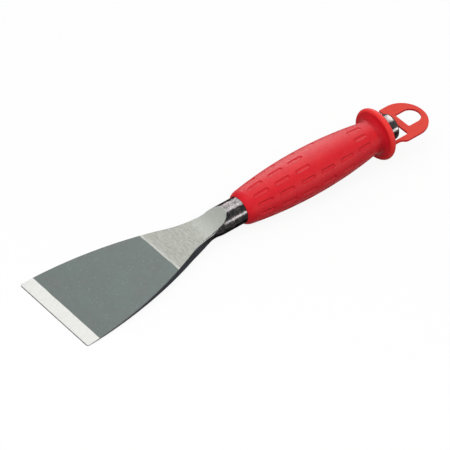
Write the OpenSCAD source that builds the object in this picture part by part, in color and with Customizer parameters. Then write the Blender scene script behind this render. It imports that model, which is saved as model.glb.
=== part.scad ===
// Spade chisel: a wide ground blade forged in one with a round bar, which runs through a soft
// barrel grip to a striking butt. A hang tab stands out behind the grip's collar.
// The tool lies as it comes to rest, on the underside of the cutting edge and on the grip's
// barrel, or on its collar where that reaches lower.
// The origin is the middle of the cutting edge, on the surface that the tool lies on.
// +X runs from the edge to the butt, and +Z is up.

/* [Blade] */
// Width of the cutting edge
blade_w = 60; // [50:1:70]
// Thickness left at the cutting edge
edge_t = 0.5; // [0.4:0.1:0.8]
// Radius of the two corners of the cutting edge
corner_r = 1.5; // [0.5:0.1:3]
// Length of the bright bevel behind the cutting edge
bevel_l = 8.6; // [6:0.1:12]
// Thickness of the blade where the bevel ends
heel_t = 0.95; // [0.9:0.05:1.5]
// Distance from the cutting edge to the end of the dark face
face_l = 74.7; // [65:0.1:85]
// Angle between the dark face and the bar's axis
face_angle = 2.5; // [1.5:0.1:3]
// Depth of the blade's flat underside below the bar's axis
underside_drop = 2.7; // [2:0.1:4]
// Length of the flat underside behind the cutting edge
flat_l = 25; // [15:1:35]
// Radius of the belly that thickens the blade towards the bar
belly_r = 830; // [760:10:900]

/* [Forged neck] */
// Angle of the two flanks to the bar's axis at the cutting edge
flank_angle = 1.5; // [0.5:0.1:2.5]
// Radius of the convex shoulders that narrow the blade
shoulder_r = 265; // [250:5:300]
// Distance from the cutting edge to the waist, the slimmest place of the bar
waist_x = 111.4; // [110:0.1:113]
// Difference between the bar's diameter and the waist's, where the neck's hollow sides end
waist_cut = 1.1; // [0.7:0.1:2.5]
// Radius of the hollow in which the round flare starts at the waist
flare_r = 20; // [16:1:26]
// Angle between the round flare's side and the bar's axis
flare_angle = 15.5; // [14:0.5:17]
// Distance in front of the waist at which the round flare gives way to the flat blade
flare_l = 18; // [16:1:20]
// Radius of the round swell between the waist and the bar
swell_r = 26; // [22:1:30]
// Angle between the bright ground neck and the bar's axis
neck_angle = 2; // [1:0.1:2.5]
// Distance from the cutting edge to the place where the grinding wheel starts to lift
lift_x = 105.5; // [104:0.5:107]
// Radius of the grinding wheel that runs the face out into the bar
wheel_r = 26; // [24:1:28]

/* [Bar] */
// Diameter of the round bar
bar_d = 16.5; // [15:0.1:18]
// Length of the steel from the cutting edge to the butt
tool_l = 250.8; // [245:0.1:270]
// Radius of the rounded rim of the butt
butt_round = 1.2; // [0.5:0.1:3]

/* [Grip] */
// Length of bar that stands bare behind the collar
butt_l = 9.8; // [6:0.1:14]
// Length of the grip from its front end to the collar's rear face
grip_l = 107.8; // [100:0.1:112]
// Largest diameter of the barrel
barrel_d = 28.2; // [25:0.1:32]
// Share of the grip's length that lies in front of the thickest place of the barrel
barrel_share = 0.473; // [0.44:0.001:0.5]
// Diameter to which the barrel's curve narrows at the grip's front
barrel_front_d = 19.8; // [19:0.1:21]
// Radius of the grip's rounded front end
front_round = 7; // [5.5:0.5:10]
// Length of the grip's rounded front end
front_l = 5; // [3:0.5:5]
// Outer diameter of the collar
collar_d = 32.9; // [30:0.1:38]
// Thickness of the collar, which has a half-round rim
collar_t = 4.1; // [3:0.1:6]
// Radius of the fillet between the barrel and the collar
collar_fillet = 3.6; // [2:0.1:4]
// Gap between the bar and the grip's bore
bore_clearance = 0.05; // [0.02:0.01:0.1]

/* [Finger grooves] */
// Number of groove rows around the barrel
groove_rows = 12; // [8:1:14]
// Number of grooves in each row
groove_count = 6; // [4:1:6]
// Distance from the grip's front end to the middle of the first groove
groove_x = 12; // [10:0.5:14]
// Distance between the middles of two grooves in a row
groove_pitch = 15.2; // [14:0.1:15.5]
// Length of a groove
groove_l = 10.7; // [8:0.1:12]
// Radius of a groove's round bottom
groove_r = 2; // [1.6:0.1:2.6]
// Depth of a groove
groove_depth = 0.55; // [0.3:0.05:0.7]
// Turn of the first row about the bar's axis, away from straight up
groove_turn = 4; // [0:1:15]
// Number of rows that leave out grooves for the plain panel
panel_rows = 2; // [0:1:3]
// Number of grooves before the plain panel in its rows
panel_after = 3; // [0:1:4]
// Number of grooves that the plain panel takes in its rows
panel_grooves = 2; // [0:1:3]

/* [Hang tab] */
// Thickness of the hang tab
tab_t = 1.3; // [1:0.1:2.4]
// Radius of the tab's round end
tab_r = 14.9; // [14:0.1:18]
// Length of the tab's straight sides before its round end
tab_side_l = 6; // [5:0.1:9]
// Open space between the butt and the tab
tab_gap = 4.6; // [3:0.1:6]
// Height of the tab's upper face below the bar's axis
tab_drop = 0.7; // [0:0.1:3]
// Width of the bridge in front of the hanging hole
bridge_w = 4.6; // [4:0.1:6]
// Width of the hanging hole
hole_w = 12.3; // [8:0.1:14]
// Length of the hanging hole
hole_l = 13.3; // [9:0.1:13.5]
// Radius of the hole's two front corners
hole_corner_r = 0.8; // [0.4:0.1:1.5]
// Width of the arm that joins the tab to the collar
arm_w = 1.9; // [1.5:0.1:2.4]
// Open space between the arm and the butt's side
arm_gap = 2.4; // [1.2:0.1:2.6]
// Distance from the collar to the place where the arm has widened to the tab's side
arm_l = 11; // [9:0.1:13]
// Radius of the two curves of the arm's outer side
arm_curve_r = 3.8; // [2.5:0.1:5]
// Radius of the fillet between the arm and the tab's front edge
arm_fillet = 1.3; // [0.5:0.1:2]

/* [Hidden] */
$fn = 96;

// Length by which a cutting shape stands clear of what it cuts
past = 1;

// Number of sides that a very large arc gets in a mesh
large_arc_sides = 360;

// Distance that the neck's flat sides stay outside the waist, so that they end in front of it
side_gap = 0.12;

// Length by which the bar's outline overlaps the neck's, where the flare is slimmer than both
waist_overlap = 0.5;

bar_r = bar_d / 2;
half_w = blade_w / 2;
bar_start = waist_x - waist_overlap;
waist_r = (bar_d - waist_cut) / 2;
neck_half = waist_r + side_gap;

// Centre of the shoulder arc, and the neck arc that touches it and is slimmest at the waist
shoulder_cx = -shoulder_r * sin(flank_angle);
shoulder_cy = half_w - shoulder_r * cos(flank_angle);
neck_reach = norm([waist_x - shoulder_cx, neck_half - shoulder_cy]);
neck_r = (pow(neck_reach, 2) - pow(shoulder_r, 2)) / (2 * (shoulder_r + shoulder_cy - neck_half));
neck_cy = neck_half + neck_r;
blend_x = shoulder_cx + (waist_x - shoulder_cx) * shoulder_r / (shoulder_r + neck_r);

// Depth by which the wheel crosses the neck's ground face instead of only touching it
wheel_bite = 0.0001;

// Heights of the ground faces above the bar's axis
underside_z = -underside_drop;
edge_z = underside_z + edge_t;
heel_z = underside_z + heel_t;
face_end_z = heel_z + (face_l - bevel_l) * tan(face_angle);
lift_z = face_end_z + (lift_x - face_l) * tan(neck_angle);
wheel_cx = lift_x - wheel_r * sin(neck_angle);
wheel_cz = lift_z + wheel_r * cos(neck_angle) - wheel_bite;

// Radius that reaches past the blade's corners
blade_reach = half_w + underside_drop;

// Depth by which the flare's straight side crosses its hollow instead of only touching it
flare_bite = 0.02;

// Where the flare leaves its hollow, and where it opens out to the flat blade
flare_turn_x = waist_x - (flare_r - flare_bite) * sin(flare_angle);
flare_turn_r = waist_r + flare_r - (flare_r - flare_bite) * cos(flare_angle);
flare_open_x = waist_x - flare_l;
flare_open_r = flare_turn_r + (flare_turn_x - flare_open_x) * tan(flare_angle);
flare_top_x = flare_open_x - (blade_reach + past - flare_open_r);

// Where the swell meets the straight bar, and where it touches the flare
swell_end = waist_x + sqrt(pow(flare_r + swell_r, 2) - pow(flare_r + swell_r - bar_r + waist_r, 2));
swell_start = waist_x + (swell_end - waist_x) * flare_r / (flare_r + swell_r);

// Places along the grip, measured from the cutting edge
collar_rear = tool_l - butt_l;
grip_x = collar_rear - grip_l;
collar_front = collar_rear - collar_t;
rim_r = collar_t / 2;
collar_x = collar_rear - rim_r;
collar_r = collar_d / 2;
bore_r = bar_r + bore_clearance;

// Radius and centre of the barrel's curve in the plane of the grip's profile
barrel_x = grip_l * barrel_share;
barrel_sag = (barrel_d - barrel_front_d) / 2;
barrel_r = (pow(barrel_x, 2) + pow(barrel_sag, 2)) / (2 * barrel_sag);
barrel_cx = grip_x + barrel_x;
barrel_cy = barrel_d / 2 - barrel_r;

// Centre of the front end's rounding, which touches the barrel's curve from inside
front_cx = grip_x + front_l;
front_cy = barrel_cy + sqrt(pow(barrel_r - front_round, 2) - pow(front_cx - barrel_cx, 2));
front_end_x = barrel_cx + (front_cx - barrel_cx) * barrel_r / (barrel_r - front_round);

// Centre of the collar's fillet, which touches the barrel's curve from outside
fillet_cx = collar_front - collar_fillet;
fillet_cy = barrel_cy + sqrt(pow(barrel_r + collar_fillet, 2) - pow(fillet_cx - barrel_cx, 2));
fillet_start_x = barrel_cx + (fillet_cx - barrel_cx) * barrel_r / (barrel_r + collar_fillet);

// Half of a groove's width on the surface, and the length of its straight bottom
groove_half_w = sqrt(2 * groove_r * groove_depth / (1 + 2 * groove_r / barrel_d));
groove_straight = groove_l - 2 * groove_half_w;

// Places of the hang tab
tab_front = tool_l + tab_gap;
tab_cx = tab_front + tab_side_l;
hole_front = tab_front + bridge_w;
hole_cx = hole_front + hole_l - hole_w / 2;
arm_in = bar_r + arm_gap;
arm_out = arm_in + arm_w;
arm_end = collar_rear + arm_l;
arm_root = collar_front + rim_r;
arm_rise = tab_r - arm_out;
arm_turn = acos(1 - arm_rise / (2 * arm_curve_r));
curve_mid_y = -arm_out - arm_rise / 2;
curve_start = arm_end - 2 * arm_curve_r * sin(arm_turn);

// Attitude at rest: the line from the edge's underside that touches the collar or barrel from below
rim_drop = collar_r - rim_r - underside_drop;
collar_tilt = atan(rim_drop / collar_x) + asin(rim_r / norm([collar_x, rim_drop]));
barrel_lift = underside_drop - barrel_cy;
barrel_tilt = atan(barrel_cx / barrel_lift) - acos(barrel_r / norm([barrel_cx, barrel_lift]));
rest_tilt = max(collar_tilt, barrel_tilt);

// Radius of the barrel's surface at a distance from the cutting edge
function barrel_at(x) = barrel_cy + sqrt(pow(barrel_r, 2) - pow(x - barrel_cx, 2));

// Angle between the barrel's surface and the bar's axis there
function barrel_slope(x) = asin((x - barrel_cx) / barrel_r);

// Whether the plain panel takes a groove
function on_panel(row, place) =
    row < panel_rows && place >= panel_after && place < panel_after + panel_grooves;

// Lays its children down as the tool rests
module at_rest() {
    rotate([0, -rest_tilt, 0]) translate([0, 0, underside_drop]) children();
}

// Turns a profile with its first coordinate along the bar's axis and its second outwards
module turned() {
    rotate([0, 90, 0]) rotate_extrude() rotate(90) mirror([0, 1]) children();
}

// Carries a side profile across the tool, half_depth to each side
module across(half_depth) {
    rotate([90, 0, 0]) linear_extrude(2 * half_depth, center = true) children();
}

// Outline of the blade and neck from above: two shoulder arcs that run into two neck arcs
module plan_outline() {
    difference() {
        intersection() {
            translate([0, -half_w]) square([blend_x, blade_w]);
            translate([shoulder_cx, shoulder_cy]) circle(shoulder_r, $fn = large_arc_sides);
            translate([shoulder_cx, -shoulder_cy]) circle(shoulder_r, $fn = large_arc_sides);
        }
        for (side = [-1, 1]) scale([1, side]) edge_corner();
    }
    difference() {
        translate([blend_x, -neck_cy]) square([waist_x - blend_x, 2 * neck_cy]);
        for (side = [-1, 1]) translate([waist_x, side * neck_cy]) circle(neck_r, $fn = large_arc_sides);
    }
    translate([bar_start, -half_w]) square([tool_l - bar_start, blade_w]);
}

// What the rounding takes off one corner of the cutting edge
module edge_corner() {
    difference() {
        translate([-past, half_w - corner_r]) square([corner_r + past, corner_r + past]);
        translate([corner_r, half_w - corner_r]) circle(corner_r);
    }
}

// Side view of the forging: bevel, ground faces and wheel run-out above, flat and belly below
module side_outline() {
    difference() {
        translate([0, -half_w]) square([tool_l, blade_w]);
        translate([-past, -blade_w]) square([flat_l + past, blade_w - underside_drop]);
        translate([flat_l, underside_z - belly_r]) circle(belly_r, $fn = large_arc_sides);
        polygon([
            [0, edge_z], [bevel_l, heel_z], [face_l, face_end_z], [lift_x, lift_z],
            [wheel_cx, blade_w], [-past, blade_w], [-past, edge_z]
        ]);
        translate([wheel_cx, wheel_cz]) circle(wheel_r);
    }
}

// Half section of the forging before it is flattened and ground: flare, waist, bar and butt
module forging_profile() {
    difference() {
        union() {
            square([swell_start, blade_reach]);
            square([tool_l, bar_r]);
        }
        translate([waist_x, waist_r + flare_r]) circle(flare_r);
        polygon([
            [flare_open_x, flare_open_r], [flare_turn_x, flare_turn_r],
            [waist_x, waist_r + flare_r], [waist_x, blade_reach + past],
            [flare_top_x, blade_reach + past]
        ]);
        difference() {
            translate([swell_start, waist_r]) square([swell_end - swell_start, bar_r]);
            translate([swell_end, bar_r - swell_r]) circle(swell_r);
        }
        difference() {
            translate([tool_l - butt_round, bar_r - butt_round]) square(butt_round + past);
            translate([tool_l - butt_round, bar_r - butt_round]) circle(butt_round);
        }
    }
}

module forged_blade() {
    color("#8d9490") at_rest() intersection() {
        turned() forging_profile();
        linear_extrude(2 * blade_w, center = true) plan_outline();
        across(blade_w) side_outline();
    }
}

// Half section of the grip: barrel, rounded front rim, fillet and half-round collar
module grip_profile() {
    difference() {
        union() {
            intersection() {
                translate([grip_x, bore_r]) square([collar_front - grip_x, barrel_d]);
                translate([barrel_cx, barrel_cy]) circle(barrel_r, $fn = large_arc_sides);
            }
            translate([collar_front, bore_r]) square([collar_t, collar_r - rim_r - bore_r]);
            translate([collar_x, collar_r - rim_r]) circle(rim_r);
            difference() {
                translate([fillet_start_x, bore_r])
                    square([collar_front - fillet_start_x, fillet_cy - bore_r]);
                translate([fillet_cx, fillet_cy]) circle(collar_fillet);
            }
        }
        difference() {
            translate([grip_x - past, front_cy]) square([front_end_x - grip_x + past, barrel_d]);
            translate([front_cx, front_cy]) circle(front_round);
        }
    }
}

// One groove's cutter: a round bar with ball ends, its middle at the origin, along X
module groove_cutter() {
    turned() intersection() {
        translate([-groove_l, 0]) square([2 * groove_l, groove_r]);
        union() {
            translate([-groove_straight / 2, 0]) square([groove_straight, groove_r]);
            for (end = [-1, 1]) translate([end * groove_straight / 2, 0]) circle(groove_r);
        }
    }
}

// All grooves around the barrel, apart from those of the plain panel
module grooves() {
    for (row = [0:groove_rows - 1], place = [0:groove_count - 1]) {
        x = grip_x + groove_x + place * groove_pitch;
        if (!on_panel(row, place))
            rotate([row * 360 / groove_rows - groove_turn, 0, 0])
                translate([x, 0, barrel_at(x) + groove_r - groove_depth])
                    rotate([0, barrel_slope(x), 0]) groove_cutter();
    }
}

// Outer side of the arm: a hollow curve and a round curve that meet halfway
module arm_shoulder() {
    difference() {
        translate([curve_start, -tab_r]) square([arm_end - curve_start, tab_r - arm_in]);
        translate([curve_start, -arm_out - arm_curve_r]) circle(arm_curve_r);
        difference() {
            translate([curve_start, -tab_r - past])
                square([arm_end - curve_start, curve_mid_y + tab_r + past]);
            translate([arm_end, -tab_r + arm_curve_r]) circle(arm_curve_r);
        }
    }
}

// The hanging hole: straight in front with small corners, round behind
module hanging_hole() {
    translate([hole_cx, 0]) circle(hole_w / 2);
    translate([hole_front + hole_corner_r, -hole_w / 2])
        square([hole_cx - hole_front - hole_corner_r, hole_w]);
    translate([hole_front, -hole_w / 2 + hole_corner_r])
        square([2 * hole_corner_r, hole_w - 2 * hole_corner_r]);
    for (side = [-1, 1])
        translate([hole_front + hole_corner_r, side * (hole_w / 2 - hole_corner_r)])
            circle(hole_corner_r);
}

// Outline of the hang tab with the one arm that carries it
module tab_outline() {
    difference() {
        union() {
            intersection() {
                translate([tab_cx, 0]) circle(tab_r);
                translate([tab_cx, -tab_r]) square(2 * tab_r);
            }
            translate([tab_front, -tab_r]) square([tab_side_l, 2 * tab_r]);
            translate([arm_end, -tab_r]) square([tab_front - arm_end, tab_r - arm_in]);
            translate([arm_root, -arm_out]) square([arm_end - arm_root, arm_w]);
            arm_shoulder();
            difference() {
                translate([tab_front - arm_fillet, -arm_in]) square(arm_fillet);
                translate([tab_front - arm_fillet, arm_fillet - arm_in]) circle(arm_fillet);
            }
        }
        hanging_hole();
    }
}

module hang_tab() {
    translate([0, 0, -tab_drop - tab_t]) linear_extrude(tab_t) tab_outline();
}

module grip() {
    color("#cf2630") at_rest() {
        difference() {
            turned() grip_profile();
            grooves();
        }
        hang_tab();
    }
}

forged_blade();
grip();
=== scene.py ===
"""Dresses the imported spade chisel: ground steel blade, dark bar and soft red grip.

Lengths named in millimetres are turned into metres where they are used. The frame is
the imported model's own: the origin lies under the middle of the cutting edge, +X runs
along the tool to the butt, +Z is up, and the bar rises by the rest tilt along +X.
"""

import logging
import math
from dataclasses import astuple, dataclass
from enum import Enum
from typing import Callable, Mapping, Sequence, Union

import bpy
from mathutils import Matrix, Vector


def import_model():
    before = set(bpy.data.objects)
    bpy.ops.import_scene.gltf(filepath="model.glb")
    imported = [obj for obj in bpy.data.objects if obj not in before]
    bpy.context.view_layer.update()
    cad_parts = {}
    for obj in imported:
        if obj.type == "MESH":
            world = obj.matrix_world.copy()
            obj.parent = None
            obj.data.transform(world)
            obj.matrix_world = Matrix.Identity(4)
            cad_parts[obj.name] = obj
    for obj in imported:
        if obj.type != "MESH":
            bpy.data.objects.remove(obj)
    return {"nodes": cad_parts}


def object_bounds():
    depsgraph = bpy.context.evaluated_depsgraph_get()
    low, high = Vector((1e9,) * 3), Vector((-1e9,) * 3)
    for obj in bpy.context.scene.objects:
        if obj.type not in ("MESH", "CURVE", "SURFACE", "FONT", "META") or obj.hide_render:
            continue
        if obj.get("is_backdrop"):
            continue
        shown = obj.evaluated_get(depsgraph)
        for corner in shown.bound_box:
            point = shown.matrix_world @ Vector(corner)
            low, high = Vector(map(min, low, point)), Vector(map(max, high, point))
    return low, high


LOG = logging.getLogger("chisel")
MM = 0.001

# The screen's colour curve: straight up to the knee and a power above it
CURVE_KNEE, CURVE_SLOPE = 0.04045, 12.92
CURVE_SHIFT, CURVE_POWER = 0.055, 2.4

# Places of the mix node's sockets, for colours and for values
COLOUR_INPUTS, COLOUR_OUTPUT = (6, 7), 2
VALUE_INPUTS, VALUE_OUTPUT = (2, 3), 0

Socket = bpy.types.NodeSocket
Value = Union[float, Socket]
Colour = tuple[float, float, float, float]
Outputs = Mapping[str, Socket]
Span = tuple[float, float]
Axis = tuple[float, float, float]

WHITE: Colour = (1.0, 1.0, 1.0, 1.0)


def shade(red: int, green: int, blue: int) -> Colour:
    """Turns a colour as a screen shows it into the linear colour that a shader takes.

    Args:
        red: Red from 0 to 255.
        green: Green from 0 to 255.
        blue: Blue from 0 to 255.

    Returns:
        The linear colour with full opacity.
    """
    linear = []
    for part in (red, green, blue):
        level = part / 255
        if level <= CURVE_KNEE:
            linear.append(level / CURVE_SLOPE)
        else:
            linear.append(((level + CURVE_SHIFT) / (1 + CURVE_SHIFT)) ** CURVE_POWER)
    return (linear[0], linear[1], linear[2], 1.0)


class Sheet:
    """A node tree with short calls for the nodes that the finishes use."""

    def __init__(self, tree: bpy.types.NodeTree) -> None:
        """Starts on an empty tree.

        Args:
            tree: The node tree to fill.
        """
        self.tree = tree
        self.tree.nodes.clear()

    def add(self, kind: str, **settings: object) -> bpy.types.Node:
        """Adds a node.

        Args:
            kind: The node's type, such as ShaderNodeMath.
            settings: Attributes to set on it.

        Returns:
            The new node.
        """
        node = self.tree.nodes.new(kind)
        for name, setting in settings.items():
            setattr(node, name, setting)
        return node

    def feed(self, target: Socket, source: object) -> None:
        """Links a socket to an input, or sets the input's own value.

        Args:
            target: The input socket.
            source: A socket, a number, a vector or a colour.
        """
        if isinstance(source, bpy.types.NodeSocket):
            self.tree.links.new(source, target)
        else:
            target.default_value = source

    def math(self, operation: str, *values: Value, clamp: bool = False) -> Socket:
        """Adds a math node.

        Args:
            operation: Its operation, such as MULTIPLY.
            values: Its inputs in order.
            clamp: Whether the result is held from 0 to 1.

        Returns:
            The result.
        """
        node = self.add("ShaderNodeMath", operation=operation, use_clamp=clamp)
        for target, value in zip(node.inputs, values):
            self.feed(target, value)
        return node.outputs[0]

    def times(self, first: Value, second: Value) -> Socket:
        """Multiplies two values."""
        return self.math("MULTIPLY", first, second)

    def apart(self, first: Value, second: Value) -> Socket:
        """Gives the distance between two values."""
        return self.math("ABSOLUTE", self.math("SUBTRACT", first, second))

    def between(self, share: Value, low: float, high: float) -> Socket:
        """Gives low where a share is 0 and high where it is 1."""
        return self.math("MULTIPLY_ADD", share, high - low, low)

    def ramp(self, value: Value, low: Value, high: Value) -> Socket:
        """Maps a value to 0 at low and 1 at high, with both ends eased.

        Args:
            value: The value to map.
            low: Where the result is 0.
            high: Where the result is 1; it may be less than low.

        Returns:
            The mapped value.
        """
        node = self.add("ShaderNodeMapRange", interpolation_type="SMOOTHSTEP")
        for name, given in (("Value", value), ("From Min", low), ("From Max", high)):
            self.feed(node.inputs[name], given)
        return node.outputs["Result"]

    def point(self, x: Value, y: Value, z: Value) -> Socket:
        """Joins three values into a vector.

        Args:
            x: Its first part.
            y: Its second part.
            z: Its third part.

        Returns:
            The vector.
        """
        node = self.add("ShaderNodeCombineXYZ")
        for target, value in zip(node.inputs, (x, y, z)):
            self.feed(target, value)
        return node.outputs[0]

    def split(self, vector: Socket) -> Outputs:
        """Splits a vector into its three parts.

        Args:
            vector: The vector.

        Returns:
            The sockets of its parts.
        """
        node = self.add("ShaderNodeSeparateXYZ")
        self.feed(node.inputs[0], vector)
        return node.outputs

    def noise(self, vector: Socket, scale: float, detail: float = 3.0,
              roughness: float = 0.55, distortion: float = 0.0) -> Socket:
        """Adds a noise texture.

        Args:
            vector: The place that it reads.
            scale: How fine it is.
            detail: The number of finer layers.
            roughness: The share of each finer layer.
            distortion: How far the layers bend.

        Returns:
            The noise, from 0 to 1.
        """
        node = self.add("ShaderNodeTexNoise")
        for name, value in (("Vector", vector), ("Scale", scale), ("Detail", detail),
                            ("Roughness", roughness), ("Distortion", distortion)):
            self.feed(node.inputs[name], value)
        return node.outputs[0]

    def mix(self, factor: Value, first: object, second: object) -> Socket:
        """Mixes two colours.

        Args:
            factor: 0 gives the first colour and 1 the second.
            first: A colour or a socket.
            second: A colour or a socket.

        Returns:
            The mixed colour.
        """
        node = self.add("ShaderNodeMix", data_type="RGBA")
        self.feed(node.inputs[0], factor)
        for place, colour in zip(COLOUR_INPUTS, (first, second)):
            self.feed(node.inputs[place], colour)
        return node.outputs[COLOUR_OUTPUT]

    def blend(self, factor: Value, first: Value, second: Value) -> Socket:
        """Mixes two values.

        Args:
            factor: 0 gives the first value and 1 the second.
            first: A number or a socket.
            second: A number or a socket.

        Returns:
            The mixed value.
        """
        node = self.add("ShaderNodeMix", data_type="FLOAT")
        self.feed(node.inputs[0], factor)
        for place, value in zip(VALUE_INPUTS, (first, second)):
            self.feed(node.inputs[place], value)
        return node.outputs[VALUE_OUTPUT]

    def bump(self, height: Socket, distance: float, strength: float) -> Socket:
        """Adds a bump.

        Args:
            height: The height that it reads.
            distance: The height of a full step, in metres.
            strength: How much of it shows.

        Returns:
            The bent normal.
        """
        node = self.add("ShaderNodeBump")
        self.feed(node.inputs["Height"], height)
        self.feed(node.inputs["Distance"], distance)
        self.feed(node.inputs["Strength"], strength)
        return node.outputs[0]

    def seen(self) -> Socket:
        """Tells what a ray is for, from the light path.

        Returns:
            1 for rays from the camera, from reflections and through glass, and else 0.
        """
        ray = self.add("ShaderNodeLightPath").outputs
        direct = self.math("MAXIMUM", ray["Is Camera Ray"], ray["Is Glossy Ray"])
        return self.math("MAXIMUM", direct, ray["Is Transmission Ray"])


@dataclass(frozen=True)
class Cloud:
    """The settings of one uneven cloud.

    Attributes:
        size: Its size across the bar, in millimetres.
        draw: Its length along the bar as a share of that size.
        low: The noise at which it starts.
        high: The noise at which it is full.
    """

    size: float
    draw: float
    low: float
    high: float


@dataclass(frozen=True)
class Scratches:
    """The settings of one set of scratches.

    Attributes:
        pitch: The distance from one to the next, in millimetres.
        cover: How much of the surface they take.
    """

    pitch: float
    cover: float


@dataclass(frozen=True)
class Specks:
    """The settings of one set of specks.

    Attributes:
        size: The size of a speck's cell, in millimetres.
        share: The share of the cells that hold one.
    """

    size: float
    share: float


class EffectGroups:
    """The shader node groups that several finishes share, each built once.

    Attributes:
        SLANTS: Each scratch direction's slant over the bar and its shift along it.
        SCRATCH_L: The length of a scratch, in millimetres.
        SCRATCH_BASE: The noise at which scratches start that cover nothing.
        SCRATCH_TOP: The noise at which a scratch is full.
        SPECK: The distances from a cell's middle at which its speck starts and is full.
    """

    SLANTS = ((0.25, 0.0), (-0.6, 37.0))
    SCRATCH_L = 14.0
    SCRATCH_BASE = 0.72
    SCRATCH_TOP = 0.78
    SPECK = (0.42, 0.16)

    def __init__(self, tilt: float, lift: float) -> None:
        """Keeps the sizes that the groups need.

        Args:
            tilt: The bar's rise along +X at rest, in radians.
            lift: The bar axis above the cutting edge's underside, in millimetres.
        """
        self.tilt = tilt
        self.lift = lift
        self.tool_space = self._make("tool_space", self._fill_tool_space)
        self.mottle = self._make("mottle", self._fill_mottle)
        self.scratches = self._make("scratches", self._fill_scratches)
        self.specks = self._make("specks", self._fill_specks)

    def _make(self, name: str,
              fill: Callable[[bpy.types.NodeTree, Sheet], None]) -> bpy.types.NodeTree:
        """Makes a group and fills it.

        Args:
            name: The group's name.
            fill: The method that makes its sockets and nodes.

        Returns:
            The node group.
        """
        tree = bpy.data.node_groups.new(name, "ShaderNodeTree")
        fill(tree, Sheet(tree))
        LOG.info("effect group %s", name)
        return tree

    @staticmethod
    def _sockets(tree: bpy.types.NodeTree, inputs: Sequence[str],
                 outputs: Sequence[str]) -> None:
        """Adds named sockets to a group: a vector for the point and else a number.

        Args:
            tree: The group.
            inputs: The name of each input.
            outputs: The name of each output.
        """
        for side, names in (("INPUT", inputs), ("OUTPUT", outputs)):
            for name in names:
                kind = "Vector" if name == "Point" else "Float"
                tree.interface.new_socket(name, in_out=side, socket_type="NodeSocket" + kind)

    def _fill_tool_space(self, tree: bpy.types.NodeTree, sheet: Sheet) -> None:
        """Fills the group that gives a point's place along, across and above the bar axis.

        Args:
            tree: The group.
            sheet: The sheet on it.
        """
        names = ("Along", "Across", "Above", "Point", "Up")
        self._sockets(tree, [], names)
        place = sheet.split(sheet.add("ShaderNodeTexCoord").outputs["Object"])
        x, y, z = (sheet.times(part, 1 / MM) for part in place)
        sine, cosine = math.sin(self.tilt), math.cos(self.tilt)
        along = sheet.math("ADD", sheet.times(x, cosine), sheet.times(z, sine))
        above = sheet.math("SUBTRACT", sheet.times(z, cosine),
                           sheet.math("ADD", sheet.times(x, sine), self.lift))
        facing = sheet.split(sheet.add("ShaderNodeNewGeometry").outputs["True Normal"])
        up = sheet.math("SUBTRACT", sheet.times(facing[2], cosine),
                        sheet.times(facing[0], sine))
        out = sheet.add("NodeGroupOutput")
        for name, value in zip(names, (along, y, above, sheet.point(along, y, above), up)):
            sheet.feed(out.inputs[name], value)

    def _fill_mottle(self, tree: bpy.types.NodeTree, sheet: Sheet) -> None:
        """Fills the group that gives an uneven cloud, drawn out along the bar.

        Args:
            tree: The group.
            sheet: The sheet on it.
        """
        self._sockets(tree, ["Point", "Size mm", "Draw", "Low", "High"], ["Cloud"])
        given = sheet.add("NodeGroupInput").outputs
        x, y, z = (sheet.math("DIVIDE", part, given["Size mm"])
                   for part in sheet.split(given["Point"]))
        drawn = sheet.point(sheet.math("DIVIDE", x, given["Draw"]), y, z)
        cloud = sheet.noise(drawn, scale=1.0, detail=4.0, roughness=0.6, distortion=0.4)
        sheet.feed(sheet.add("NodeGroupOutput").inputs["Cloud"],
                   sheet.ramp(cloud, given["Low"], given["High"]))

    def _fill_scratches(self, tree: bpy.types.NodeTree, sheet: Sheet) -> None:
        """Fills the group that gives short thin scratches in two directions.

        Args:
            tree: The group.
            sheet: The sheet on it.
        """
        self._sockets(tree, ["Point", "Pitch mm", "Cover"], ["Scratch"])
        given = sheet.add("NodeGroupInput").outputs
        x, y, _ = sheet.split(given["Point"])
        start = sheet.math("SUBTRACT", self.SCRATCH_BASE, given["Cover"])
        crossed = []
        for slant, shift in self.SLANTS:
            across = sheet.math("ADD", y, sheet.times(x, slant))
            thin = sheet.math("DIVIDE", across, given["Pitch mm"])
            long = sheet.math("DIVIDE", sheet.math("ADD", x, shift), self.SCRATCH_L)
            line = sheet.noise(sheet.point(thin, long, shift), scale=1.0, detail=2.0,
                               roughness=0.5)
            crossed.append(sheet.ramp(line, start, self.SCRATCH_TOP))
        sheet.feed(sheet.add("NodeGroupOutput").inputs["Scratch"],
                   sheet.math("MAXIMUM", *crossed))

    def _fill_specks(self, tree: bpy.types.NodeTree, sheet: Sheet) -> None:
        """Fills the group that gives small separate specks.

        Args:
            tree: The group.
            sheet: The sheet on it.
        """
        self._sockets(tree, ["Point", "Size mm", "Share"], ["Speck"])
        given = sheet.add("NodeGroupInput").outputs
        cells = sheet.add("ShaderNodeTexVoronoi", feature="F1")
        sheet.feed(cells.inputs["Vector"], given["Point"])
        sheet.feed(cells.inputs["Scale"], sheet.math("DIVIDE", 1.0, given["Size mm"]))
        chosen = sheet.add("ShaderNodeSeparateColor")
        sheet.feed(chosen.inputs[0], cells.outputs["Color"])
        kept = sheet.math("LESS_THAN", chosen.outputs[0], given["Share"])
        spot = sheet.ramp(cells.outputs["Distance"], *self.SPECK)
        sheet.feed(sheet.add("NodeGroupOutput").inputs["Speck"], sheet.times(kept, spot))

    @staticmethod
    def _place(sheet: Sheet, tree: bpy.types.NodeTree, *values: Value) -> Outputs:
        """Places a group in a material.

        Args:
            sheet: The material's sheet.
            tree: The group.
            values: Its inputs in order.

        Returns:
            The outputs of the placed group.
        """
        node = sheet.add("ShaderNodeGroup", node_tree=tree)
        for target, value in zip(node.inputs, values):
            sheet.feed(target, value)
        return node.outputs

    def space(self, sheet: Sheet) -> Outputs:
        """Gives a point's place in the tool's own frame, in millimetres."""
        return self._place(sheet, self.tool_space)

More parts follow.
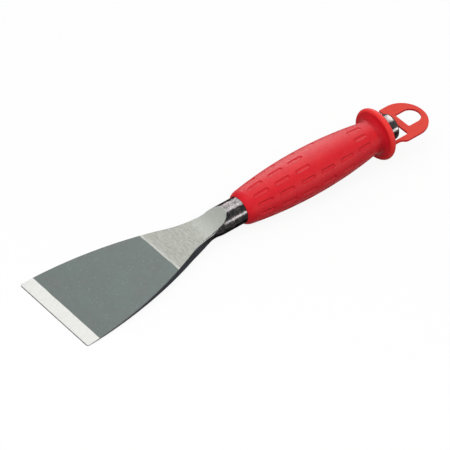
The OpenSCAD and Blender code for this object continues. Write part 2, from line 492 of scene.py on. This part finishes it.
    def cloud(self, sheet: Sheet, point: Socket, look: Cloud) -> Socket:
        """Gives an uneven cloud at a point of the tool."""
        return self._place(sheet, self.mottle, point, *astuple(look))["Cloud"]

    def scratched(self, sheet: Sheet, point: Socket, look: Scratches) -> Socket:
        """Gives scratches at a point of the tool."""
        return self._place(sheet, self.scratches, point, *astuple(look))["Scratch"]

    def specked(self, sheet: Sheet, point: Socket, look: Specks) -> Socket:
        """Gives specks at a point of the tool."""
        return self._place(sheet, self.specks, point, *astuple(look))["Speck"]


def new_material(name: str) -> tuple[bpy.types.Material, Sheet, bpy.types.Node]:
    """Makes a material with one Principled surface.

    Args:
        name: The material's name.

    Returns:
        The material, the sheet on its nodes and the Principled node.
    """
    material = bpy.data.materials.new(name)
    material.use_nodes = True
    sheet = Sheet(material.node_tree)
    surface = sheet.add("ShaderNodeBsdfPrincipled")
    out = sheet.add("ShaderNodeOutputMaterial")
    sheet.feed(out.inputs["Surface"], surface.outputs[0])
    return material, sheet, surface


@dataclass(frozen=True)
class GroundLine:
    """The upper ground surface of the blade along the bar axis, in millimetres.

    Attributes:
        underside_z: Height of the blade's underside at the edge.
        edge_t: Thickness of the edge.
        heel_t: Thickness at the bevel's heel.
        bevel_l: Length of the bevel.
        face_l: Distance from the edge to the end of the dark face.
        face_angle: Rise of the dark face, in degrees.
        neck_angle: Rise of the neck's ground face, in degrees.
        lift_x: Distance from the edge at which the wheel lifts out of the neck.
        wheel_r: Radius of the wheel.
    """

    underside_z: float = -2.7
    edge_t: float = 0.5
    heel_t: float = 0.95
    bevel_l: float = 8.6
    face_l: float = 74.7
    face_angle: float = 2.5
    neck_angle: float = 2.0
    lift_x: float = 105.5
    wheel_r: float = 26.0

    @property
    def face_slope(self) -> float:
        """Rise of the dark face over a length of 1."""
        return math.tan(math.radians(self.face_angle))

    @property
    def neck_slope(self) -> float:
        """Rise of the neck over a length of 1."""
        return math.tan(math.radians(self.neck_angle))

    @property
    def heel_z(self) -> float:
        """Height of the bevel's heel."""
        return self.underside_z + self.heel_t

    @property
    def face_end_z(self) -> float:
        """Height at which the dark face ends."""
        return self.heel_z + (self.face_l - self.bevel_l) * self.face_slope

    @property
    def lift_z(self) -> float:
        """Height at which the wheel starts to lift out of the neck."""
        return self.face_end_z + (self.lift_x - self.face_l) * self.neck_slope

    def height(self, sheet: Sheet, along: Socket) -> Socket:
        """Gives the ground surface's height over a place along the bar.

        Args:
            sheet: The material's sheet.
            along: The place along the bar.

        Returns:
            The height above the bar axis.
        """
        bevel = sheet.math("MULTIPLY_ADD", along, (self.heel_t - self.edge_t) / self.bevel_l,
                           self.underside_z + self.edge_t)
        face = sheet.math("MULTIPLY_ADD", along, self.face_slope,
                          self.heel_z - self.bevel_l * self.face_slope)
        neck = sheet.math("MULTIPLY_ADD", along, self.neck_slope,
                          self.face_end_z - self.face_l * self.neck_slope)
        angle = math.radians(self.neck_angle)
        reach = sheet.math("SUBTRACT", along, self.lift_x - self.wheel_r * math.sin(angle))
        inside = sheet.math("SUBTRACT", self.wheel_r ** 2, sheet.times(reach, reach))
        depth = sheet.math("SQRT", sheet.math("MAXIMUM", inside, 0.0))
        wheel = sheet.math("SUBTRACT", self.lift_z + self.wheel_r * math.cos(angle), depth)
        blade = sheet.math("MINIMUM", bevel, face)
        run = sheet.blend(sheet.math("GREATER_THAN", along, self.face_l), blade, neck)
        return sheet.blend(sheet.math("GREATER_THAN", along, self.lift_x), run, wheel)


@dataclass(frozen=True)
class ForgedSteel:
    """The forging's finish: bright bevel, dark ground face, satin neck and dark gloss.

    A span that ends in _x holds two places along the bar and one in _d two distances
    from a line, in millimetres, and one in _up two parts of a surface's direction along
    the tool's up: where a look starts and where it is full. The other spans hold a value
    where their cloud or ramp is 0 and where it is 1. A share says how strongly a look
    shows.
    """

    line: GroundLine

    bevel: Colour = shade(212, 212, 208)
    bevel_streak: Colour = shade(176, 177, 174)
    face: Colour = shade(95, 102, 100)
    face_green: Colour = shade(94, 107, 102)
    face_light: Colour = shade(140, 147, 143)
    neck: Colour = shade(162, 163, 156)
    neck_dark: Colour = shade(127, 128, 121)
    # Painted light: the lighter green-grey tone over the wheel run-out, set for how its
    # upward sweep takes light
    runout_painted_light: Colour = shade(178, 183, 176)
    bar: Colour = shade(41, 40, 41)
    bar_light: Colour = shade(74, 70, 69)
    wall: Colour = shade(68, 69, 72)
    wall_light: Colour = shade(92, 93, 97)
    # Colour of the painted highlight line along the walls' top edge on the neck
    painted_glint: Colour = shade(236, 238, 238)

    patches: Cloud = Cloud(size=1.5, draw=1.8, low=0.4, high=0.75)
    brushed: Cloud = Cloud(size=2.6, draw=0.25, low=0.3, high=0.75)
    grain: Cloud = Cloud(size=0.6, draw=1.0, low=0.45, high=0.8)
    broad: Cloud = Cloud(size=14.0, draw=1.0, low=0.35, high=0.65)
    fine_scratches: Scratches = Scratches(pitch=0.6, cover=0.04)
    streaks: Scratches = Scratches(pitch=1.6, cover=0.3)
    specks: Specks = Specks(size=1.1, share=0.05)

    # Where a surface counts as ground: close to the ground line and facing up
    ground_d: Span = (0.3, 0.12)
    ground_up: Span = (0.25, 0.45)

    # Metal, roughness and reflection
    dark_metal: float = 1.0
    ground_metal: float = 0.1
    wall_rough: float = 0.4
    bar_rough: Span = (0.19, 0.29)
    bar_rough_x: Span = (98.0, 108.0)
    ground_rough: Span = (0.5, 0.62)
    specular_level: float = 0.15
    specular_tint: float = 0.35

    # Unevenness: noise per millimetre, the brushed grain's share of the bump's step, and
    # that step in metres
    hammer_scale: float = 0.3
    brushed_height: float = 0.08
    bump_step: float = 0.00012
    bump_strength: float = 0.6

    # Dark face
    face_green_share: float = 0.6
    grain_share: float = 0.2
    scratch_share: float = 0.5

    # Neck, with a light strip behind the dark face whose end waves, and a painted lighter
    # green-grey tone over the wheel run-out that stands in for how its upward sweep takes
    # light
    neck_dark_share: float = 0.7
    runout_painted_light_x: Span = (98.0, 112.0)
    runout_painted_light_share: float = 0.6
    wave_scale: float = 0.16
    wave: Span = (-0.45, 0.45)
    strip_d: Span = (2.4, 0.5)
    strip_share: float = 0.3
    face_end_d: Span = (-0.25, 0.35)

    # Bevel, with a waving heel, and the dark line of the edge
    streak_share: float = 0.25
    heel_scale: float = 0.12
    heel_wave: Span = (-0.25, 0.45)
    heel_d: Span = (0.2, -0.2)
    edge_x: Span = (0.5, 0.25)
    edge_share: float = 0.75

    # Black walls, dark bar and the struck end
    wall_light_share: float = 0.35
    bar_x: Span = (96.0, 107.0)
    struck_x: Span = (246.0, 250.0)
    struck_share: float = 0.8

    # Painted highlight: a bright line just under the ground surface along the wall's top
    # edge, standing in for a reflection there; its depth and strength grow on the neck
    painted_glint_depth_x: Span = (95.0, 103.0)
    painted_glint_depth: Span = (0.4, 0.9)
    painted_glint_bright_x: Span = (88.0, 98.0)
    painted_glint_bright: Span = (0.15, 0.9)
    painted_glint_patches: Span = (0.7, 1.0)
    painted_glint_d: Span = (0.5, 0.15)
    painted_glint_end_x: Span = (113.0, 106.0)

    def build(self, groups: EffectGroups) -> bpy.types.Material:
        """Builds the material.

        Args:
            groups: The shared effect groups.

        Returns:
            The material.
        """
        material, sheet, surface = new_material("forged_steel")
        space = groups.space(sheet)
        point, along = space["Point"], space["Along"]
        under = sheet.math("SUBTRACT", self.line.height(sheet, along), space["Above"])
        on_line = sheet.ramp(sheet.math("ABSOLUTE", under), *self.ground_d)
        ground = sheet.times(on_line, sheet.ramp(space["Up"], *self.ground_up))

        patches = groups.cloud(sheet, point, self.patches)
        brushed = groups.cloud(sheet, point, self.brushed)
        lit = self._ground_colour(sheet, groups, space, brushed)
        dark = self._dark_colour(sheet, along, under, patches)
        sheet.feed(surface.inputs["Base Color"], sheet.mix(ground, dark, lit))
        sheet.feed(surface.inputs["Metallic"],
                   sheet.blend(ground, self.dark_metal, self.ground_metal))

        rough_dark = sheet.blend(sheet.ramp(along, *self.bar_rough_x), self.wall_rough,
                                 sheet.between(patches, *self.bar_rough))
        rough_ground = sheet.between(brushed, *self.ground_rough)
        sheet.feed(surface.inputs["Roughness"], sheet.blend(ground, rough_dark, rough_ground))
        tint = self.specular_tint
        surface.inputs["Specular IOR Level"].default_value = self.specular_level
        surface.inputs["Specular Tint"].default_value = (tint, tint, tint, 1.0)

        hammer = sheet.noise(point, self.hammer_scale, roughness=0.5)
        height = sheet.blend(ground, hammer, sheet.times(brushed, self.brushed_height))
        sheet.feed(surface.inputs["Normal"],
                   sheet.bump(height, self.bump_step, self.bump_strength))
        return material

    def _ground_colour(self, sheet: Sheet, groups: EffectGroups, space: Outputs,
                       brushed: Socket) -> Socket:
        """Builds the colour of the bevel, the dark face and the neck.

        Args:
            sheet: The material's sheet.
            groups: The shared effect groups.
            space: The place in the tool's own frame.
            brushed: The cross-grain cloud.

        Returns:
            The colour.
        """
        point, along = space["Point"], space["Along"]
        broad = groups.cloud(sheet, point, self.broad)
        face = sheet.mix(sheet.times(broad, self.face_green_share), self.face,
                         self.face_green)
        spots = sheet.math("MAXIMUM", groups.scratched(sheet, point, self.fine_scratches),
                           groups.specked(sheet, point, self.specks))
        grain = groups.cloud(sheet, point, self.grain)
        marks = sheet.math("ADD", sheet.times(grain, self.grain_share),
                           sheet.times(spots, self.scratch_share), clamp=True)
        face = sheet.mix(marks, face, self.face_light)

        neck = sheet.mix(sheet.times(brushed, self.neck_dark_share), self.neck,
                         self.neck_dark)
        # Painted light: the wheel run-out is painted a lighter green-grey, standing in for
        # how its upward sweep takes light
        green = sheet.times(sheet.ramp(along, *self.runout_painted_light_x), self.runout_painted_light_share)
        neck = sheet.mix(green, neck, self.runout_painted_light)
        wave = sheet.between(sheet.noise(point, self.wave_scale), *self.wave)
        from_face = sheet.math("SUBTRACT", along, sheet.math("ADD", wave, self.line.face_l))
        strip = sheet.times(sheet.ramp(from_face, *self.strip_d), self.strip_share)
        neck = sheet.mix(strip, neck, self.bevel)
        lit = sheet.mix(sheet.ramp(from_face, *self.face_end_d), face, neck)

        streaks = groups.scratched(sheet, point, self.streaks)
        bevel = sheet.mix(sheet.times(streaks, self.streak_share), self.bevel,
                          self.bevel_streak)
        wave = sheet.between(sheet.noise(point, self.heel_scale), *self.heel_wave)
        from_heel = sheet.math("SUBTRACT", along, sheet.math("ADD", wave, self.line.bevel_l))
        lit = sheet.mix(sheet.ramp(from_heel, *self.heel_d), lit, bevel)
        edge = sheet.times(sheet.ramp(along, *self.edge_x), self.edge_share)
        return sheet.mix(edge, lit, self.wall)

    def _dark_colour(self, sheet: Sheet, along: Socket, under: Socket,
                     patches: Socket) -> Socket:
        """Builds the colour of the dark bar and of the black walls, with a painted highlight
        line along the walls' top edge on the neck.

        Args:
            sheet: The material's sheet.
            along: The place along the bar.
            under: The depth below the ground surface.
            patches: The cloud of lighter patches.

        Returns:
            The colour.
        """
        bar = sheet.mix(patches, self.bar, self.bar_light)
        wall = sheet.mix(sheet.times(patches, self.wall_light_share), self.wall,
                         self.wall_light)
        dark = sheet.mix(sheet.ramp(along, *self.bar_x), wall, bar)
        struck = sheet.times(sheet.ramp(along, *self.struck_x), self.struck_share)
        dark = sheet.mix(struck, dark, self.bar_light)
        # Painted highlight: a bright line just under the ground surface on the neck, standing
        # in for a reflection along the wall's top edge
        depth = sheet.between(sheet.ramp(along, *self.painted_glint_depth_x), *self.painted_glint_depth)
        bright = sheet.between(sheet.ramp(along, *self.painted_glint_bright_x), *self.painted_glint_bright)
        painted_glint = sheet.times(bright, sheet.between(patches, *self.painted_glint_patches))
        painted_glint = sheet.times(painted_glint, sheet.ramp(sheet.apart(under, depth), *self.painted_glint_d))
        painted_glint = sheet.times(painted_glint, sheet.ramp(along, *self.painted_glint_end_x))
        return sheet.mix(painted_glint, dark, self.painted_glint)


@dataclass(frozen=True)
class SoftGrip:
    """The grip's finish: soft satin red with fine moulded grain.

    A span that ends in _x holds two places along the bar, one in _r two distances from
    its axis and one in _d two distances from a line, in millimetres, and one in _up two
    parts of a surface's direction along the tool's up: where a look starts and where it
    is full. The span named satin holds the roughness where the fine grain is 0 and where
    it is 1. A share says how strongly a look shows.
    """

    red: Colour = shade(222, 30, 44)
    deep: Colour = shade(156, 14, 30)
    light: Colour = shade(240, 52, 50)
    # Colour of the painted highlight on the collar's rim
    painted_rim_highlight: Colour = shade(252, 64, 60)
    # Painted light: the hang tab is painted a lighter orange, standing in for light shining
    # through its thin plastic
    tab_painted_backlight: Colour = shade(228, 66, 52)
    tab_speck: Colour = shade(190, 44, 44)

    broad: Cloud = Cloud(size=7.0, draw=1.5, low=0.3, high=0.7)
    fine: Cloud = Cloud(size=0.6, draw=1.0, low=0.3, high=0.8)
    specks: Specks = Specks(size=0.9, share=0.36)
    light_share: float = 0.3
    grain_share: float = 0.18
    # How strongly the painted shade shows in the grooves and the valley
    painted_crease_shade_share: float = 0.46

    # Painted highlight: the collar's rim is painted lighter, where light falls on it
    painted_rim_highlight_r: Span = (14.4, 16.0)
    painted_rim_highlight_share: float = 0.75

    # Flat faces of the hang tab, with the roughness that they add
    tab_x: Span = (241.0, 242.0)
    tab_up: Span = (0.6, 0.9)
    speck_share: float = 0.5
    tab_rough: float = 0.26

    # Roughness, reflection and unevenness, with the bump's step in metres
    satin: Span = (0.44, 0.56)
    specular_level: float = 0.08
    broad_height: float = 0.5
    bump_step: float = 0.00006
    bump_strength: float = 0.5

    # The barrel's arc, and the side walls of its grooves and the valley before the collar,
    # which are painted darker as shade
    thickest_x: float = 184.19
    thickest_r: float = 14.1
    curve_r: float = 311.61
    groove_top_d: Span = (0.03, 0.15)
    groove_floor_d: Span = (0.5, 0.3)
    grooves_start_x: Span = (138.5, 140.5)
    grooves_end_x: Span = (236.9, 235.9)
    valley_x: float = 234.7
    valley_d: Span = (2.7, 0.9)

    def build(self, groups: EffectGroups) -> bpy.types.Material:
        """Builds the material.

        Args:
            groups: The shared effect groups.

        Returns:
            The material.
        """
        material, sheet, surface = new_material("soft_grip")
        space = groups.space(sheet)
        point, along = space["Point"], space["Along"]
        broad = groups.cloud(sheet, point, self.broad)
        fine = groups.cloud(sheet, point, self.fine)
        specks = groups.specked(sheet, point, self.specks)
        radius = self._radius(sheet, space)
        painted_crease_shade = self._painted_crease_shade(sheet, along, radius)
        red = sheet.mix(sheet.times(broad, self.light_share), self.red, self.light)
        red = sheet.mix(sheet.times(fine, self.grain_share), red, self.deep)
        # Painted shade: the grooves' side walls and the valley before the collar are painted
        # deep red
        red = sheet.mix(sheet.times(painted_crease_shade, self.painted_crease_shade_share), red, self.deep)
        # Painted highlight: the collar's rim is painted lighter
        on_painted_rim_highlight = sheet.ramp(radius, *self.painted_rim_highlight_r)
        red = sheet.mix(sheet.times(on_painted_rim_highlight, self.painted_rim_highlight_share), red, self.painted_rim_highlight)

        # Painted light: the tab's lighter orange stands in for light shining through the thin
        # plastic; the specks are its own
        tab_painted_backlight = sheet.mix(sheet.times(specks, self.speck_share), self.tab_painted_backlight, self.tab_speck)
        flat = sheet.times(sheet.ramp(along, *self.tab_x),
                           sheet.ramp(sheet.math("ABSOLUTE", space["Up"]), *self.tab_up))
        sheet.feed(surface.inputs["Base Color"], sheet.mix(flat, red, tab_painted_backlight))
        satin = sheet.between(fine, *self.satin)
        sheet.feed(surface.inputs["Roughness"],
                   sheet.math("MULTIPLY_ADD", flat, self.tab_rough, satin))
        surface.inputs["Specular IOR Level"].default_value = self.specular_level
        height = sheet.math("MULTIPLY_ADD", broad, self.broad_height, fine)
        sheet.feed(surface.inputs["Normal"],
                   sheet.bump(height, self.bump_step, self.bump_strength))
        return material

    @staticmethod
    def _radius(sheet: Sheet, space: Outputs) -> Socket:
        """Gives the distance from the bar's axis."""
        squares = (sheet.times(space[name], space[name]) for name in ("Across", "Above"))
        return sheet.math("SQRT", sheet.math("ADD", *squares))

    def _painted_crease_shade(self, sheet: Sheet, along: Socket, radius: Socket) -> Socket:
        """Marks the grooves' side walls and the valley in front of the collar, where shade is
        painted.

        Args:
            sheet: The material's sheet.
            along: The place along the bar.
            radius: The distance from the bar's axis.

        Returns:
            1 where shade is painted and 0 on the open surface.
        """
        reach = sheet.math("SUBTRACT", along, self.thickest_x)
        inside = sheet.math("SUBTRACT", self.curve_r ** 2, sheet.times(reach, reach))
        crest = sheet.math("ADD", sheet.math("SQRT", inside), self.thickest_r - self.curve_r)
        depth = sheet.math("SUBTRACT", crest, radius)
        groove = sheet.times(sheet.ramp(depth, *self.groove_top_d),
                             sheet.ramp(depth, *self.groove_floor_d))
        groove = sheet.times(groove, sheet.ramp(along, *self.grooves_start_x))
        groove = sheet.times(groove, sheet.ramp(along, *self.grooves_end_x))
        valley = sheet.ramp(sheet.apart(along, self.valley_x), *self.valley_d)
        return sheet.math("MAXIMUM", groove, valley)


@dataclass(frozen=True)
class PaleFloor:
    """The stage's finish: white to the camera and in reflections, with a soft shadow.

    Attributes:
        seen: The matt colour for rays that show the floor.
        bounced: The matt colour for rays that carry light from it to the tool.
        shadow_share: How strongly shadows show on it.
    """

    seen: Colour = WHITE
    bounced: Colour = (0.14, 0.14, 0.14, 1.0)
    shadow_share: float = 0.1

    def build(self) -> bpy.types.Material:
        """Builds the material.

        Returns:
            The material.
        """
        material = bpy.data.materials.new("pale_floor")
        material.use_nodes = True
        sheet = Sheet(material.node_tree)
        seen = sheet.seen()
        matt = sheet.add("ShaderNodeBsdfDiffuse")
        sheet.feed(matt.inputs["Color"], sheet.mix(seen, self.bounced, self.seen))
        white = sheet.add("ShaderNodeEmission")
        mixer = sheet.add("ShaderNodeMixShader")
        for target, source in zip(mixer.inputs, (sheet.times(seen, 1 - self.shadow_share),
                                                 matt.outputs[0], white.outputs[0])):
            sheet.feed(target, source)
        out = sheet.add("ShaderNodeOutputMaterial")
        sheet.feed(out.inputs["Surface"], mixer.outputs[0])
        return material


class Side(Enum):
    """Which way a lamp stands from the tool, as a direction in the frame."""

    BEHIND = (0.537, 0.502, 0.678)
    NEAR = (0.537, -0.834, 0.128)
    FRONT = (-0.38, -0.3, 0.87)


@dataclass(frozen=True)
class Softbox:
    """A soft rectangular lamp aimed at the tool, with its height across the bar.

    Attributes:
        side: Which way it stands.
        distance: How far it stands from the tool, in metres.
        width: Its size along the bar, in metres.
        height: Its size across the bar, in metres.
        power: Its power in watts.
        lights_matt: Whether it lights matt surfaces, or only shows in glossy ones.
    """

    side: Side
    distance: float
    width: float
    height: float
    power: float
    lights_matt: bool

    def build(self, target: Vector) -> bpy.types.Object:
        """Builds the lamp.

        Args:
            target: The point that it is aimed at.

        Returns:
            The lamp.
        """
        name = "softbox_" + self.side.name.lower()
        lamp = bpy.data.lights.new(name, "AREA")
        lamp.shape = "RECTANGLE"
        lamp.size, lamp.size_y = self.width, self.height
        lamp.energy = self.power
        holder = bpy.data.objects.new(name, lamp)
        bpy.context.scene.collection.objects.link(holder)
        towards = Vector(self.side.value).normalized()
        tall = towards.cross(Vector((1, 0, 0))).normalized()
        axes = Matrix((tall.cross(towards), tall, towards)).transposed().to_4x4()
        holder.matrix_world = Matrix.Translation(target + towards * self.distance) @ axes
        holder.visible_camera = False
        holder.visible_diffuse = self.lights_matt
        LOG.info("lamp %s", name)
        return holder


@dataclass(frozen=True)
class Studio:
    """Floor, lamps, world and camera around the tool.

    Attributes:
        centre: The middle of the tool.
        floor_half: Half of the floor's width, in metres.
        floor_drop: How far the floor lies under the tool, in metres.
        world_level: The light that the world gives to matt surfaces.
        softboxes: The lamps.
        lens_mm: Focal length of the lens.
        sensor_mm: Width of the sensor.
        clip: The nearest and the farthest distance that the camera sees, in metres.
        camera_place: Where the camera stands, in metres.
        camera_right: Its direction to the right.
        camera_up: Its direction up.
        camera_back: Its direction back, away from the tool.
    """

    centre: Vector
    floor_half: float = 3.0
    floor_drop: float = 0.0002
    world_level: float = 0.56
    softboxes: tuple[Softbox, ...] = (
        Softbox(Side.BEHIND, distance=1.3, width=0.32, height=2.22, power=48.0,
                lights_matt=False),
        Softbox(Side.NEAR, distance=1.2, width=0.36, height=0.28, power=8.0,
                lights_matt=False),
        Softbox(Side.FRONT, distance=1.3, width=1.3, height=1.3, power=10.0,
                lights_matt=True),
    )
    lens_mm: float = 240.0
    sensor_mm: float = 36.0
    clip: Span = (0.05, 20.0)
    camera_place: Axis = (-0.7903442, -0.9111559, 1.1147089)
    camera_right: Axis = (0.75649934, -0.64760899, 0.09116655)
    camera_up: Axis = (0.37352201, 0.54227455, 0.75260854)
    camera_back: Axis = (-0.53683336, -0.53529515, 0.65212656)

    def build(self) -> None:
        """Builds the whole studio."""
        self._floor()
        self._world()
        self._lamps()
        self._camera()

    def _floor(self) -> None:
        """Builds the floor under the tool."""
        half = self.floor_half
        mesh = bpy.data.meshes.new("floor")
        corners = [(-half, -half, 0), (half, -half, 0), (half, half, 0), (-half, half, 0)]
        mesh.from_pydata(corners, [], [(0, 1, 2, 3)])
        floor = bpy.data.objects.new("floor", mesh)
        floor.location = (self.centre.x, self.centre.y, -self.floor_drop)
        mesh.materials.append(PaleFloor().build())
        bpy.context.scene.collection.objects.link(floor)
        floor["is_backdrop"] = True
        LOG.info("stage floor")

    def _world(self) -> None:
        """Sets the world: white where it is seen, and soft fill for the rest."""
        world = bpy.data.worlds.new("studio")
        bpy.context.scene.world = world
        world.use_nodes = True
        sheet = Sheet(world.node_tree)
        sky = sheet.add("ShaderNodeBackground")
        sheet.feed(sky.inputs["Color"], WHITE)
        sheet.feed(sky.inputs["Strength"], sheet.blend(sheet.seen(), self.world_level, 1.0))
        out = sheet.add("ShaderNodeOutputWorld")
        sheet.feed(out.inputs["Surface"], sky.outputs[0])

    def _lamps(self) -> None:
        """Builds the lamps."""
        for softbox in self.softboxes:
            softbox.build(self.centre)

    def _camera(self) -> None:
        """Builds the camera at the viewing angle of the reference picture."""
        lens = bpy.data.cameras.new("camera")
        lens.lens, lens.sensor_width = self.lens_mm, self.sensor_mm
        lens.sensor_fit = "HORIZONTAL"
        lens.clip_start, lens.clip_end = self.clip
        camera = bpy.data.objects.new("camera", lens)
        axes = Matrix((self.camera_right, self.camera_up, self.camera_back)).transposed()
        camera.matrix_world = Matrix.Translation(self.camera_place) @ axes.to_4x4()
        bpy.context.scene.collection.objects.link(camera)
        bpy.context.scene.camera = camera
        LOG.info("camera")


@dataclass(frozen=True)
class Chisel:
    """The tool: the forged blade and the soft grip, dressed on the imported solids.

    Attributes:
        nodes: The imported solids' objects by name.
        rest_tilt: The bar's rise along +X at rest, in radians.
    """

    nodes: Mapping[str, bpy.types.Object]
    rest_tilt: float = math.radians(3.74868)

    def dress(self) -> None:
        """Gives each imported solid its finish."""
        line = GroundLine()
        groups = EffectGroups(self.rest_tilt, -line.underside_z)
        self._wear("forged_blade", ForgedSteel(line).build(groups))
        self._wear("grip", SoftGrip().build(groups))

    def _wear(self, node: str, material: bpy.types.Material) -> None:
        """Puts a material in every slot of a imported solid's object.

        Args:
            node: The solid's name.
            material: The material.
        """
        for place in self.nodes[node].material_slots:
            place.link = "OBJECT"
            place.material = material
        LOG.info("piece %s: %s", node, material.name)


def main() -> None:
    """Builds the scene in order, reading the model's size before it is dressed."""
    logging.basicConfig(level=logging.INFO, format="%(message)s")
    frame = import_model()
    packed = [list(corner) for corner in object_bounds()]
    bpy.context.scene.view_settings.view_transform = "Standard"
    low, high = (Vector(corner) for corner in packed)
    Chisel(frame["nodes"]).dress()
    Studio((low + high) / 2).build()


if __name__ == "__main__":
    main()
